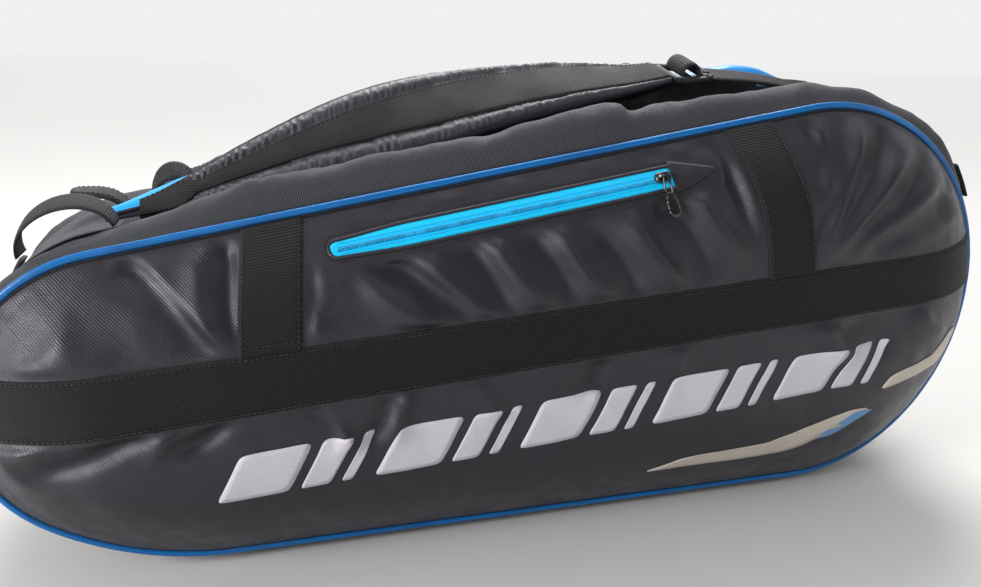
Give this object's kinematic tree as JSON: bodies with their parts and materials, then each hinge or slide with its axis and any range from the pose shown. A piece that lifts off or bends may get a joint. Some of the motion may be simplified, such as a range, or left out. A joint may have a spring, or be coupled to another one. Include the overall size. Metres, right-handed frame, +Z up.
{
  "type": "racket tournament bag",
  "caption": "Long rounded racket bag with bulged zip-round covers on both sides of a padded spine, sloped accessory pocket zip, webbing bands and padded shoulder straps.",
  "frame": {"origin": "middle of the flat underside of the centre gusset, on the ground, under the middle of the bag", "axes": "+X towards the head end along the bag, +Y towards the back cover, +Z up; the front cover with the accessory pocket faces -Y"},
  "size_m": [0.768, 0.2952, 0.3442],
  "materials": {
    "gusset_twill": "woven",
    "panel_nylon": "woven",
    "lining": "woven",
    "webbing": "woven",
    "piping_blue": "satin vinyl",
    "inset_blue": "woven",
    "zip_tape_black": "woven",
    "zip_tape_cyan": "woven",
    "print_silver": "metallic screen print",
    "slider_black": "gloss",
    "buckle_black": "moulded"
  },
  "bodies": {
    "root": {"base_gusset": "gusset_twill", "head_gusset": "gusset_twill", "handle_gusset": "gusset_twill", "divider": "lining", "front_top_roll": "gusset_twill", "back_top_roll": "gusset_twill", "spine_panel": "gusset_twill", "spine_inset": "inset_blue", "front_inner_zip_tape": "zip_tape_black", "back_inner_zip_tape": "zip_tape_black", "head_zip_tabs": "webbing", "handle_zip_tabs": "webbing", "handle_end_tab": "gusset_twill", "grab_loop": "webbing", "hang_loop": "webbing", "front_anchor_patches": "webbing", "back_anchor_patches": "webbing"},
    "front_cover": {"front_panel": "panel_nylon", "front_piping": "piping_blue", "front_outer_gusset": "gusset_twill", "front_outer_zip_tape": "zip_tape_black", "front_band": "webbing", "front_handle_webbing": "webbing", "front_head_webbing": "webbing", "front_print": "print_silver", "pocket_zip_tape": "zip_tape_cyan", "pocket_zip_garage": "panel_nylon", "pocket_lining": "lining"},
    "back_cover": {"back_panel": "panel_nylon", "back_piping": "piping_blue", "back_outer_gusset": "gusset_twill", "back_outer_zip_tape": "zip_tape_black", "back_band": "webbing", "back_handle_webbing": "webbing", "back_head_webbing": "webbing"},
    "pocket_slider": {"pocket_slider": "slider_black"},
    "pocket_puller": {"pocket_puller": "slider_black"},
    "front_zip_slider": {"front_zip_slider": "slider_black"},
    "front_zip_puller": {"front_zip_puller": "slider_black"},
    "back_zip_slider": {"back_zip_slider": "slider_black"},
    "back_zip_puller": {"back_zip_puller": "slider_black"},
    "front_strap": {"front_strap_pad": "panel_nylon", "front_strap_band": "gusset_twill", "front_ladder_lock": "buckle_black", "front_adjuster": "webbing"},
    "back_strap": {"back_strap_pad": "panel_nylon", "back_strap_band": "gusset_twill", "back_ladder_lock": "buckle_black", "back_adjuster": "webbing"}
  },
  "joints": [
    {"name": "front_cover_hinge", "type": "hinge", "parent": "root", "child": "front_cover", "pos_m": [0.20094, -0.1, 0.30969], "axis": [-0.9844, 0, -0.1761], "range_deg": [0, 35]},
    {"name": "back_cover_hinge", "type": "hinge", "parent": "root", "child": "back_cover", "pos_m": [0.20094, 0.1, 0.30969], "axis": [0.9844, 0, 0.1761], "range_deg": [0, 35]},
    {"name": "pocket_zip_slide", "type": "slide", "parent": "front_cover", "child": "pocket_slider", "axis": [-0.9844, 0, -0.1761], "range_m": [0, 0.215]},
    {"name": "pocket_puller_hinge", "type": "hinge", "parent": "pocket_slider", "child": "pocket_puller", "pos_m": [0.07291, -0.12683, 0.26725], "axis": [-0.9844, 0, -0.1761], "range_deg": [0, 150]},
    {"name": "front_zip_slide", "type": "slide", "parent": "front_cover", "child": "front_zip_slider", "axis": [-1, 0, 0], "range_m": [0, 0.4]},
    {"name": "front_zip_puller_hinge", "type": "hinge", "parent": "front_zip_slider", "child": "front_zip_puller", "pos_m": [0.205, -0.06, 0.0042], "axis": [0, 1, 0], "range_deg": [0, 90]},
    {"name": "back_zip_slide", "type": "slide", "parent": "back_cover", "child": "back_zip_slider", "axis": [-1, 0, 0], "range_m": [0, 0.4]},
    {"name": "back_zip_puller_hinge", "type": "hinge", "parent": "back_zip_slider", "child": "back_zip_puller", "pos_m": [0.205, 0.06, 0.0042], "axis": [0, 1, 0], "range_deg": [0, 90]},
    {"name": "front_strap_hinge", "type": "hinge", "parent": "root", "child": "front_strap", "pos_m": [-0.266, -0.046, 0.2314], "axis": [0.9889, 0, 0.1484], "range_deg": [-4, 20]},
    {"name": "back_strap_hinge", "type": "hinge", "parent": "root", "child": "back_strap", "pos_m": [-0.266, 0.046, 0.2314], "axis": [0.9889, 0, 0.1484], "range_deg": [0, 40]}
  ]
}
